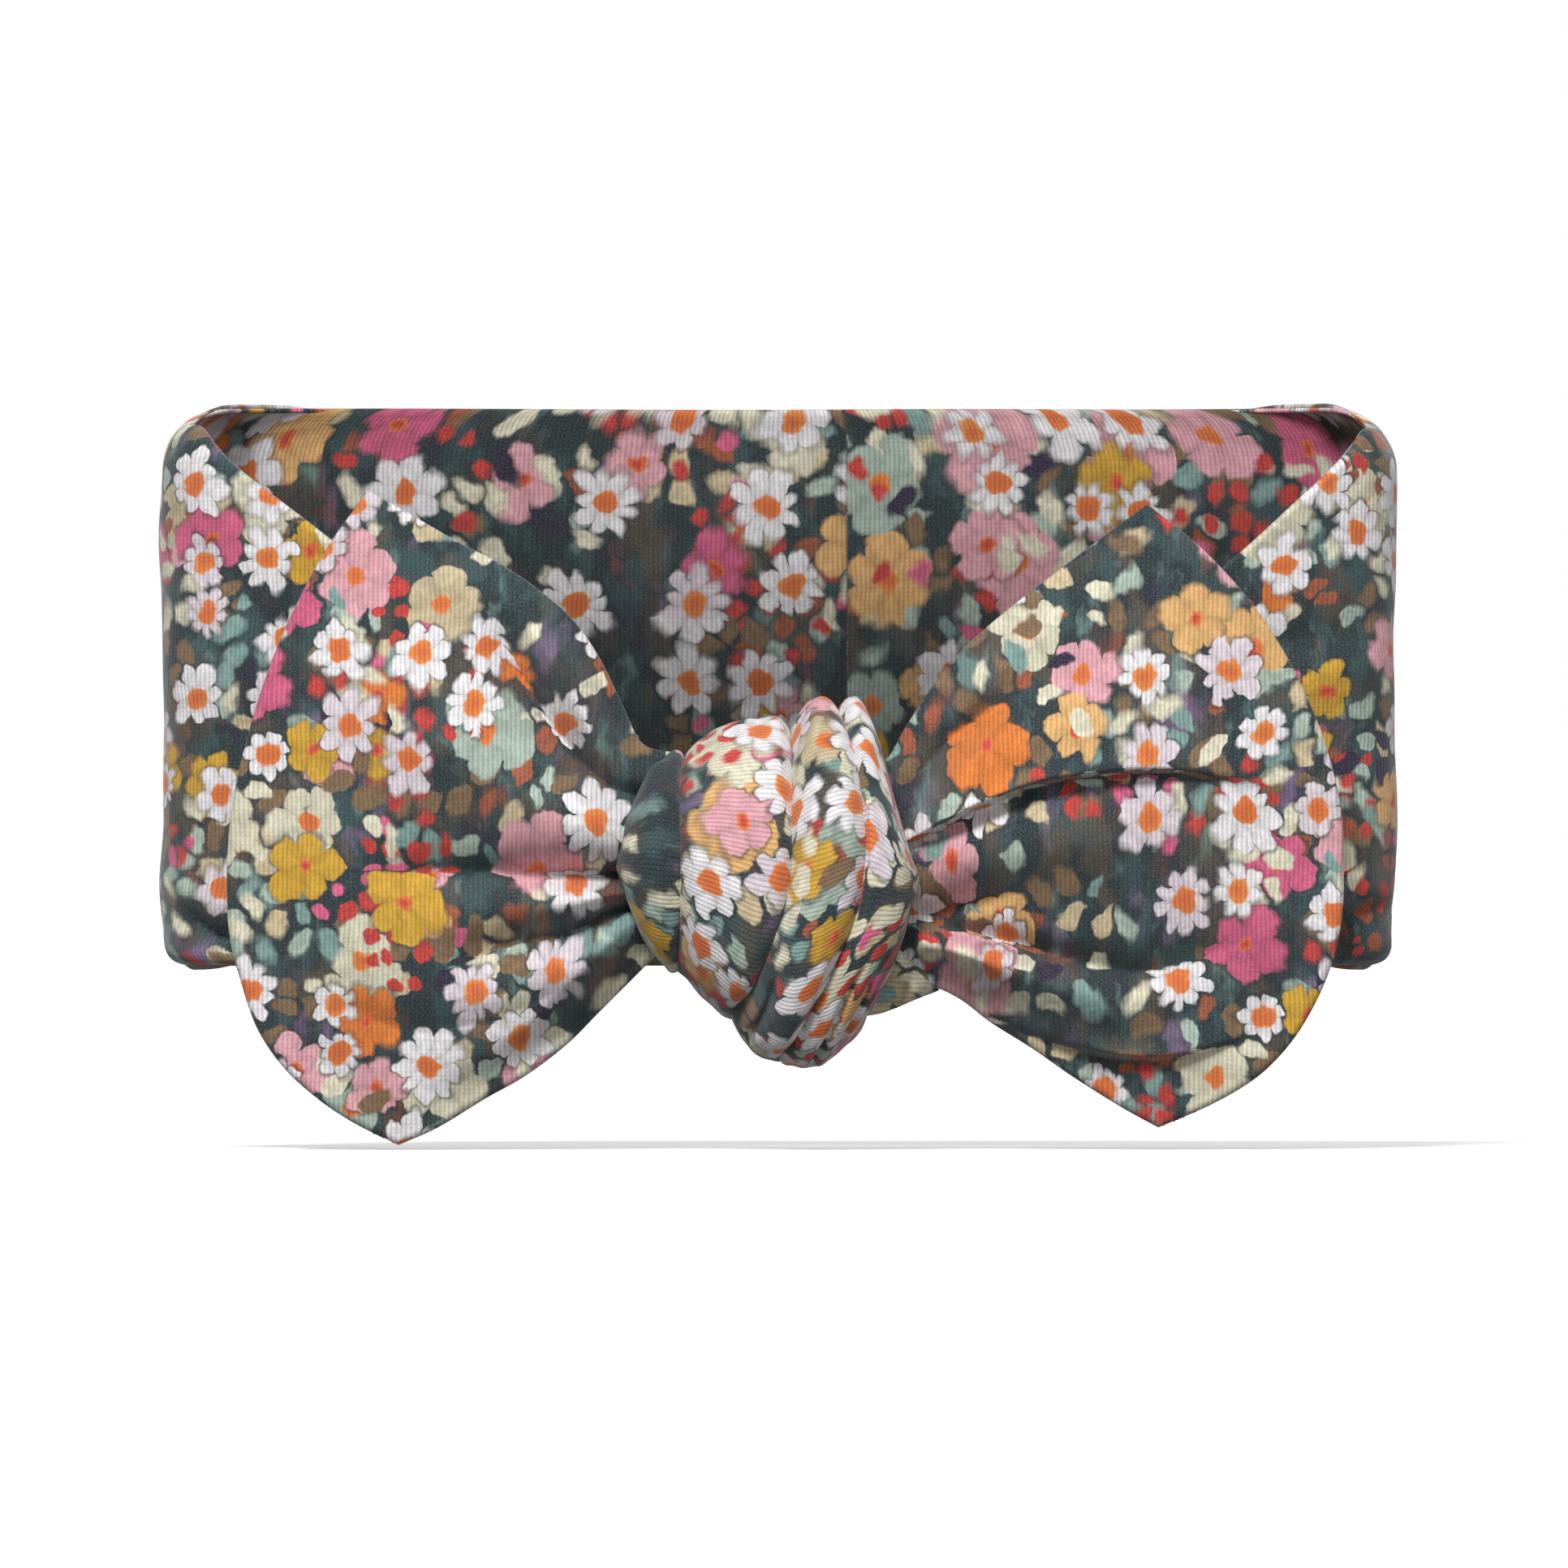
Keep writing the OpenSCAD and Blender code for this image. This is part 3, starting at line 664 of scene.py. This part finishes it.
# Each outline runs out from the knot along the lower and upper edges, and up along the neck and free edge.
# Each fold is its kind, its points, its height and width at its two ends, and how much cloth it swallows.
WINGS = {
    -1: {
        "lower": [(-15, -36), (-18.1, -39.2), (-25.7, -46.8), (-30.4, -51.5), (-36.3, -56), (-42.1, -59.3),
                  (-49.2, -63.6), (-54.7, -66.0)],
        "upper": [(-15, -9.6), (-19.6, -8.2), (-22.3, -3.0), (-25.6, 3.8), (-29.6, 9.6), (-34.4, 13.8),
                  (-40, 17.6), (-46, 20.7), (-52.4, 24.4), (-59.1, 28.2)],
        "neck": [(-15, -36), (-14, -24), (-15, -9.6)],
        "edge": [(-54.7, -66.0), (-61.2, -62.8), (-66.4, -59.3), (-71.2, -54.9), (-75, -49.3),
                 (-77.3, -42.8), (-79.0, -35.8), (-79.4, -27), (-78.6, -17), (-76.6, -8), (-73.9, 1.0),
                 (-70.4, 9.6), (-65.4, 19.2), (-59.1, 28.2)],
        "folds": [
            ("crease", [(-19, -16.5), (-25, -14), (-30.4, -8.8), (-36, -0.5), (-40, 9), (-44, 19)],
             (8.5, 1.6), (2.3, 4.6), 3),
            ("ridge", [(-19, -11), (-25, -3), (-32, 6.5), (-40, 16), (-48, 22)], (4.6, 1.6), (3.6, 4.6)),
            ("ridge", [(-19, -21.5), (-32, -17.5), (-46, -10), (-58, 2), (-62, 12)], (4.4, 1.6), (5.0, 11)),
            ("crease", [(-19, -27), (-30, -26.8), (-44, -26.9), (-58, -26.4), (-66, -26)], (8.5, 0.5),
             (1.7, 4.0), 4),
            ("ridge", [(-19, -29.4), (-30, -31), (-42, -32), (-56, -34)], (3.6, 1.2), (1.7, 5)),
            ("crease", [(-19, -31.4), (-24, -32.2), (-30.4, -35.4), (-39.8, -37.6), (-51.5, -43)],
             (6.0, 0.8), (1.4, 3.6), 3),
            ("ridge", [(-18, -35.6), (-28, -41), (-42, -46.6), (-56, -51)], (3.6, 1.4), (4.0, 7)),
            ("crease", [(-33, -44.5), (-42, -48.4), (-52, -49.4), (-60, -47.2), (-68, -43)], (1.2, 1.1),
             (2.4, 3.0)),
            ("crease", [(-60, -61), (-70, -48), (-74, -32), (-71, -8), (-62, 16)], (0.6, 0.4), (3.2, 3.2))]},
    1: {
        "lower": [(13, -38), (16.5, -43.4), (21.7, -43.2), (26, -45), (30.5, -48.4), (36.4, -52.1),
                  (42.3, -56.2), (49.3, -60.6), (54.6, -63.5)],
        "upper": [(13, -13), (16.2, -9.6), (17.8, -6.6), (21.4, -1.0), (25.6, 4.4), (29.8, 8.4),
                  (34.4, 12.2), (39.2, 15.9), (45.4, 20.6), (53, 26.2)],
        "neck": [(13, -38), (12, -25), (13, -13)],
        "edge": [(54.6, -63.5), (61.4, -60.6), (66.4, -57.9), (70.4, -54.9), (74.2, -50.6), (77.2, -45.6),
                 (79.4, -40.4), (80.9, -34), (81.3, -27), (80.9, -18), (78.8, -8.8), (75.4, -0.2),
                 (71.2, 7.4), (66.4, 14.0), (60, 20.6), (53, 26.2)],
        "folds": [
            ("crease", [(14, -16.8), (19, -13.8), (23.5, -8.7), (29.4, -4.2), (37, 1.5)], (7.5, 0.6),
             (1.6, 3.4), 2),
            ("ridge", [(14, -12.5), (21, -4.5), (28, 4), (37, 12), (46, 18.5)], (4.0, 1.4), (3.2, 5.0)),
            ("ridge", [(21, -17.5), (30, -10.5), (40, -6.4), (52, -3.5), (62, -2)], (3.4, 1.5), (3.2, 7.0)),
            ("overlap", [(15, -24.5), (21, -21.4), (27, -18.2), (32.5, -15.8), (38, -14.0), (45, -12.9),
                         (53, -12.3), (61, -12.8), (69, -14.6), (76, -17)], (6.0, 0.9), (1.7, 1.9), 6),
            ("ridge", [(15, -27.6), (30, -23.0), (45, -21.5), (62, -23)], (4.2, 1.8), (3.8, 8.0)),
            ("crease", [(14, -32.7), (21, -32.7), (28, -31), (38, -29)], (6.0, 0.6), (1.3, 2.6), 2),
            ("ridge", [(15, -36.4), (22, -37.4), (31, -39.8), (40, -43.2), (50, -46.2), (62, -45.5)],
             (4.6, 1.8), (2.2, 4.0)),
            ("crease", [(22, -34.4), (32, -36.6), (41, -39.2), (49, -41.0), (56, -40.6), (64, -37.4),
                        (72, -33)], (4.6, 1.6), (1.6, 3.4), 3),
            ("overlap", [(25, -46.4), (33, -48.8), (41, -51.6), (49, -53.4), (57, -53.4), (65, -51.2),
                         (72, -47.4)], (3.4, 1.6), (1.3, 1.3), 3),
            ("crease", [(60, -57), (72, -44), (76, -26), (72, -4), (60, 16)], (0.6, 0.4), (3.2, 3.2))]}}


def patch(outline, rows, cols):
    """A grid of (x, z) places that fills an outline given by its four edges."""
    low, high = spline(outline["lower"], rows), spline(outline["upper"], rows)
    neck, edge = spline(outline["neck"], cols), spline(outline["edge"], cols)
    u, v = rows[:, None, None], cols[None, :, None]
    corners = (1 - u) * (1 - v) * low[0] + u * (1 - v) * low[-1] + (1 - u) * v * high[0] + u * v * high[-1]
    return (1 - v) * low[:, None] + v * high[:, None] + (1 - u) * neck[None] + u * edge[None] - corners


def fine_ends(count, first, last):
    """Shares from 0 to 1, closer together towards the ends that are named."""
    t = np.linspace(0, 1, count)
    if first and last:
        return t - 0.08 * np.sin(2 * math.pi * t)
    return t + 0.24 * np.sin(math.pi * t) * t


def rim_distance(grid, outline):
    """How far each place of a wing is from its nearest outer edge, leaving out the neck."""
    edges = np.vstack([spline(outline[k], 700) for k in ("lower", "upper", "edge")])
    p = grid.reshape(-1, 2)
    best = np.full(len(p), 1e9)
    for chunk in np.array_split(edges, 30):
        best = np.minimum(best, np.sqrt(((p[:, None] - chunk[None]) ** 2).sum(-1)).min(1))
    return best.reshape(grid.shape[:2])


def wing_layer(name, side, front, material):
    """The front or the back layer of a wing."""
    outline = WINGS[side]
    rows, cols = fine_ends(WING_ROWS, False, True), fine_ends(WING_COLS, True, True)
    grid = patch(outline, rows, cols)
    u, v = rows[:, None], cols[None]
    place = grid.reshape(-1, 2)
    deep = rim_distance(grid, outline)
    rounded = np.sqrt(1 - (1 - np.clip(deep / RIM, 0, 1)) ** 2)
    slip = np.zeros(grid.shape[:2])
    if front:
        rise = np.zeros(len(place))
        for fold in outline["folds"]:
            one, shift = stroke(place, *fold)
            rise += one
            slip += shift.reshape(slip.shape)
        rise = rise.reshape(slip.shape)
        rise += (0.22 * ripple(place, 19, 11 + side) + 0.04 * ripple(place, 6, 13 + side)).reshape(slip.shape)
        dome = np.sin(math.pi * v) ** 0.5 * (9.5 * (1 - u) ** 1.3 + 2.6 * np.sin(math.pi * u))
        pinched = 0.25 + 0.75 * smooth(15, 28, np.abs(grid[..., 0]))
        height = (dome + rise) * pinched * smooth(0, 6.5, deep) + RIM * rounded
        height = np.maximum(height, RIM * rounded)
    else:
        height = -RIM * rounded - 0.25 * ripple(place, 18, 17 + side).reshape(slip.shape) * smooth(0, 6, deep)
    middle_y = WING_BACK_Y - RIM - 3.2 * (1 - u) ** 1.6 - 0.6 * np.sin(math.pi * v) * u
    face = np.stack([grid[..., 0], middle_y - height, grid[..., 1]], -1)
    uv = np.stack([grid[..., 0] * 1.02, grid[..., 1] + slip], -1)
    want = -1 if front else 1
    turned = 1 if normals(face)[60, 90, 1] * want > 0 else -1
    return cloth_mesh(name, face, uv, LAYER, material, outward=turned)


for side, word, cloth in ((-1, "left", LEFT_CLOTH), (1, "right", RIGHT_CLOTH)):
    for kind in ("front", "back"):
        piece = wing_layer(f"{word}_wing_{kind}_cloth", side, kind == "front", cloth)
        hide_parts(f"{word}_wing_{kind}")
        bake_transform(piece)


# ---------------------------------------------------------------- the knot

# Top and bottom of the knot at places across it: (x, top, bottom)
KNOT_OUTLINE = [(-25, -20, -29), (-23.6, -16.6, -34.0), (-22, -12.6, -37.0), (-19.7, -10.4, -39.0),
                (-17.6, -9.4, -40.2), (-13.8, -9.0, -41.8), (-11.3, -8.2, -44.2), (-7.9, -7.0, -47.2),
                (-3.7, -5.6, -51.7), (-1.1, -5.0, -53.6), (2.3, -4.6, -54.8), (5.6, -3.6, -54.2),
                (9.0, -2.6, -52.4), (12.4, -3.0, -50.0), (14.3, -5.4, -48.2), (16.7, -11.0, -45.4),
                (18.4, -15.4, -42.0), (19.8, -19.8, -36.6), (21, -23, -29)]

# Where each crease lies: (angle round the knot, x). 90 is the top, 0 the front, -90 the bottom, 180 the back.
CREASE_LINES = [
    [(-180, -20), (-90, -16.4), (-60, -20.4), (-25, -22.9), (0, -23.3), (30, -22.8), (60, -20.0),
     (90, -16.8), (180, -20)],
    [(-180, -13), (-90, -14.9), (-45, -14.4), (0, -14.3), (45, -14.4), (90, -14.0), (180, -13)],
    [(-180, 0), (-90, -7.0), (-38, -3.3), (-22, -1.4), (0, 1.2), (24, 1.75), (90, 1.5), (180, 0)],
    [(-180, 9), (-90, 0.6), (-51, 4.2), (-34, 7.9), (-14, 11.7), (2, 12.8), (16, 12.9), (36, 12.0),
     (90, 9.0), (180, 9)],
    [(-180, 18), (-90, 12.0), (-55, 16.6), (-25, 19.5), (0, 20.3), (25, 19.6), (60, 16.0), (90, 13.4),
     (180, 18)]]

# Each fold: CAD node, roundness of its left and right shoulders, bulge, how far it stands proud, how far it
# runs under its left and right neighbours, and where it lies on the printed cloth
KNOT_FOLDS = [("knot_left_fold", 5.0, 2.8, 0.6, 0.0, 0.0, 0.6, (-169, 418)),
              ("knot_main_fold", 3.0, 3.2, 1.2, 1.3, 0.0, 0.4, (316, 334)),
              ("knot_middle_fold", 3.2, 3.2, 1.6, 1.9, 0.0, 0.0, (-186, 175)),
              ("knot_right_fold", 1.8, 4.5, 0.8, 0.9, 0.6, 0.0, (41, -123))]
KNOT_TURNS, KNOT_ACROSS = 200, 44
FOLD_THICK = 2.6


def knot_shape(x):
    """The knot's middle height, half height and half depth at a place across it."""
    table = np.array(KNOT_OUTLINE)
    upper, lower = spline(table[:, [0, 1]], 300), spline(table[:, [0, 2]], 300)
    top, low = np.interp(x, upper[:, 0], upper[:, 1]), np.interp(x, lower[:, 0], lower[:, 1])
    half = (top - low) / 2
    return (top + low) / 2, half, KNOT_HALF_DEPTH * np.clip(half / 25.7, 0.2, 1) ** 0.35


def crease(k, angle):
    """Where a crease crosses an angle, as a smooth closed curve."""
    keys = np.array(CREASE_LINES[k])
    loop = np.vstack([keys[:-1] - [360, 0], keys, keys[1:] + [360, 0]])
    dense = spline(loop, 900)
    return np.interp(angle, dense[:, 0], dense[:, 1])


def knot_fold(k):
    """One fold of the wrap, all the way round the knot."""
    node, left_round, right_round, bulge, proud, under_left, under_right, print_place = KNOT_FOLDS[k]
    degrees = np.linspace(-180, 180, KNOT_TURNS + 1)[:-1]
    angle = np.radians(degrees)[:, None]
    start, end = crease(k, degrees)[:, None] - under_left, crease(k + 1, degrees)[:, None] + under_right
    s = 0.5 - 0.5 * np.cos(np.linspace(0, math.pi, KNOT_ACROSS))[None]
    x = start + (end - start) * s
    across = np.abs(2 * s - 1)
    wide = end - start
    tight = 1 - 0.7 * np.exp(-((degrees[:, None] + 95) / 26) ** 2)
    inset = (bulge * across ** 2 - proud) * tight
    for gap, radius in ((x - start, left_round), (end - x, right_round)):
        radius = np.minimum(radius, 0.5 * wide)
        inset = inset + tight * radius * (1 - np.sqrt(1 - (1 - np.clip(gap / radius, 0, 1)) ** 2))
    line = np.stack([x, degrees[:, None] * 0.12 + np.zeros_like(x)], -1)
    pulls = 0.22 * ripple(line * [1.0, 0.45], 5.5, 31 + k) + 0.08 * ripple(line * [1, 0.6], 2.2, 41 + k)
    inset = inset - pulls * (1 - across ** 4)
    if node == "knot_middle_fold":
        # a narrow pleat runs along its left edge below the front
        low = smooth(-12, -40, degrees)[:, None] * smooth(-90, -72, degrees)[:, None]
        inset = inset + 1.3 * np.exp(-((x - start - 2.2) / 0.5) ** 2) * low
    if node == "knot_right_fold":
        # two pleats run along it below the front
        low = smooth(-22, -50, degrees)[:, None] * smooth(-92, -74, degrees)[:, None]
        for out, deep in ((3.2, 1.5), (6.6, 1.2)):
            inset = inset + deep * np.exp(-((x - start - 1.8 - out) / 0.6) ** 2) * low
    middle, half, depth = knot_shape(x)
    face = np.stack([x, KNOT_Y - (depth - inset) * np.cos(angle), middle + (half - inset) * np.sin(angle)],
                    -1)
    ring = face[:, KNOT_ACROSS // 2]
    step = np.linalg.norm(np.roll(ring, -1, 0) - ring, axis=1)
    run = np.r_[0, np.cumsum(step)]
    cross = np.linalg.norm(np.diff(face, axis=1), axis=2)
    wide_run = np.concatenate([np.zeros((len(face), 1)), np.cumsum(cross, 1)], 1)
    wide_run = np.concatenate([wide_run, wide_run[:1]], 0) - wide_run.mean()
    uv = np.stack([np.repeat(run[:, None], KNOT_ACROSS, 1), wide_run], -1) + print_place
    turned = 1 if normals(face, True)[KNOT_TURNS // 2, KNOT_ACROSS // 2, 1] < 0 else -1
    inward = np.stack([0 * x, np.cos(angle) + 0 * x, -np.sin(angle) + 0 * x], -1)
    piece = cloth_mesh(node + "_cloth", face, uv, FOLD_THICK, KNOT_CLOTH, closed=True, outward=turned,
                       inward=inward)
    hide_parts(node)
    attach(piece, "band_front")


for k in range(len(KNOT_FOLDS)):
    knot_fold(k)


BUNDLE_REACH = 14.5     # how far the bundles run from the middle before the knot hides them
BUNDLE_SPREAD = [0, 0.9, 3.0]    # how much the loose gathers spread past the CAD bundle, to fill the knot


def bundle(node, name, seed):
    """A gathered bundle of cloth through the knot, with the pleats of the gather along it."""
    low, high = box_mm(node)
    centre, half = (low + high) / 2, (high - low) / 2 + BUNDLE_SPREAD
    turns, steps = 96, 26
    angle = np.linspace(0, 2 * math.pi, turns + 1)[:-1][:, None]
    x = np.linspace(max(low[0], -BUNDLE_REACH), min(high[0], BUNDLE_REACH), steps)
    x = np.r_[x[0], x, x[-1]][None] + 0 * angle
    closing = np.r_[0.02, np.ones(steps), 0.02]     # the last ring at each end shuts it
    pleat = 0.9 * np.cos(angle * 11 + np.sin(x / 6 + seed)) + 0.4 * np.cos(angle * 5 + x / 8)
    squeeze = 1 - 0.05 * np.sin(math.pi * (x - low[0]) / (high[0] - low[0]))
    y = centre[1] + (half[1] - 0.9 + 0.6 * pleat) * squeeze * closing * np.cos(angle)
    z = centre[2] + (half[2] - 0.9 + pleat) * squeeze * closing * np.sin(angle)
    face = np.stack([x, y, z], -1)
    along = np.vstack([x, x[:1]]) + half[2] * (1 - closing) * np.sign(x[:1])
    round_it = np.vstack([angle, angle[:1] + 2 * math.pi]) * 9
    uv = np.stack([along, round_it + 0 * along], -1)
    turned = 1 if normals(face, True)[turns // 4, steps // 2, 2] > 0 else -1
    piece = cloth_mesh(name, face, uv, 2.0, BAND_CLOTH, closed=True, outward=turned)
    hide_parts(node)
    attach(piece, "band_front")


bundle("band_gather", "band_gather_cloth", 1.0)
bundle("knot_core", "knot_core_cloth", 4.0)


def tuck():
    """The end of the wrap, a soft folded flap that shows between the knot and the right wing."""
    across, down = np.linspace(0, 1, 44), np.linspace(0, 1, 36)
    grid = patch({"lower": [(8.5, -47.5), (13.5, -47.3), (16.6, -46.4), (19.4, -45.2), (23.0, -43.8)],
                  "upper": [(9.5, -39.0), (13.0, -38.0), (17.0, -37.4), (22.0, -38.0)],
                  "neck": [(8.5, -47.5), (9.0, -43.0), (9.5, -39.0)],
                  "edge": [(23.0, -43.8), (23.2, -41.0), (22.0, -38.0)]}, across, down)
    u, v = across[:, None], down[None]
    low, high = box_mm("knot_tuck")
    fold = np.exp(-((u - 0.55 - 0.25 * v) / 0.10) ** 2)
    bulge = 1.9 * np.sqrt(np.sin(math.pi * np.clip(v, 0, 1)) + 0.02)
    y = (low[1] + high[1]) / 2 - bulge + 1.2 * fold - 0.5 * np.sin(9 * u + 3 * v)
    y = y + 4.5 * smooth(0.66, 1.0, u)
    face = np.stack([grid[..., 0], y, grid[..., 1]], -1)
    uv = np.stack([grid[..., 1], grid[..., 0]], -1)
    turned = 1 if normals(face)[20, 15, 1] < 0 else -1
    piece = cloth_mesh("knot_tuck_cloth", face, uv, LAYER, KNOT_CLOTH, outward=turned)
    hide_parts("knot_tuck")
    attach(piece, "band_front")


tuck()

for name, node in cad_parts.items():
    if name.endswith("_thread"):
        node.data.materials.clear()
        node.data.materials.append(THREAD)


# ---------------------------------------------------------------- floor, light and camera

FLOOR_GLOW = 0.26       # the floor is a lit panel, and its shadows stay pale


def floor():
    """A plain pale floor under the object."""
    bpy.ops.mesh.primitive_plane_add(size=60, location=(0, 0, FLOOR_Z * MM))
    ground = bpy.context.object
    ground.name = "floor"
    material = bpy.data.materials.new("pale_floor")
    material.use_nodes = True
    g = Graph(material.node_tree)
    shader = material.node_tree.nodes["Principled BSDF"]
    place = g.node("ShaderNodeTexCoord").outputs["Object"]
    grain = g.noise(place, 0.05, 3.0, flat="3D")[0]
    g.put(shader.inputs["Base Color"], g.mix(grain, (0.955, 0.955, 0.955, 1), (0.975, 0.975, 0.975, 1)))
    shader.inputs["Roughness"].default_value = 0.9
    shader.inputs["Specular IOR Level"].default_value = 0.1
    shader.inputs["Emission Color"].default_value = (1, 1, 1, 1)
    shader.inputs["Emission Strength"].default_value = FLOOR_GLOW
    ground.data.materials.append(material)
    ground.visible_diffuse = False


def sun(name, way, strength, softness):
    """A very large, even light that shines along a direction."""
    light = bpy.data.lights.new(name, "SUN")
    light.energy = strength
    light.angle = math.radians(softness)
    lamp = bpy.data.objects.new(name, light)
    lamp.rotation_mode = "QUATERNION"
    lamp.rotation_quaternion = Vector(way).to_track_quat("-Z", "Y")
    bpy.context.scene.collection.objects.link(lamp)


def sky(light, seen):
    """An even white surround. light is how much it lights the object, and seen how bright it looks."""
    world = bpy.data.worlds.new("studio")
    bpy.context.scene.world = world
    world.use_nodes = True
    g = Graph(world.node_tree)
    looked_at = g.node("ShaderNodeLightPath").outputs["Is Camera Ray"]
    strength = g.math("ADD", light, g.math("MULTIPLY", looked_at, seen - light))
    g.put(world.node_tree.nodes["Background"].inputs["Strength"], strength)
    world.node_tree.nodes["Background"].inputs["Color"].default_value = (1, 1, 1, 1)


floor()
sky(0.18, 1.0)
sun("key", (0.25, 1.0, -0.90), 2.9, 16)
sun("front", (-0.35, 1.0, -0.15), 0.65, 40)
sun("top", (0.0, 0.1, -1.0), 0.35, 60)
sun("back", (-0.4, -1.0, -0.5), 1.3, 40)
bpy.context.scene.view_settings.view_transform = "Standard"

FRAME_WIDTH = 226.5     # width of the view at the middle of the object
VIEW_X, VIEW_Z = 0.76, -14.07       # what the camera looks straight at
DISTANCE = 6.0          # metres
SENSOR = 36             # width of the camera's sensor
camera = bpy.data.cameras.new("camera")
camera.sensor_width = SENSOR
camera.lens = SENSOR * DISTANCE / (FRAME_WIDTH * MM)
camera.clip_end = 100
viewer = bpy.data.objects.new("camera", camera)
viewer.location = (VIEW_X * MM, -DISTANCE, VIEW_Z * MM)
viewer.rotation_euler = (math.pi / 2, 0, 0)
bpy.context.scene.collection.objects.link(viewer)
bpy.context.scene.camera = viewer
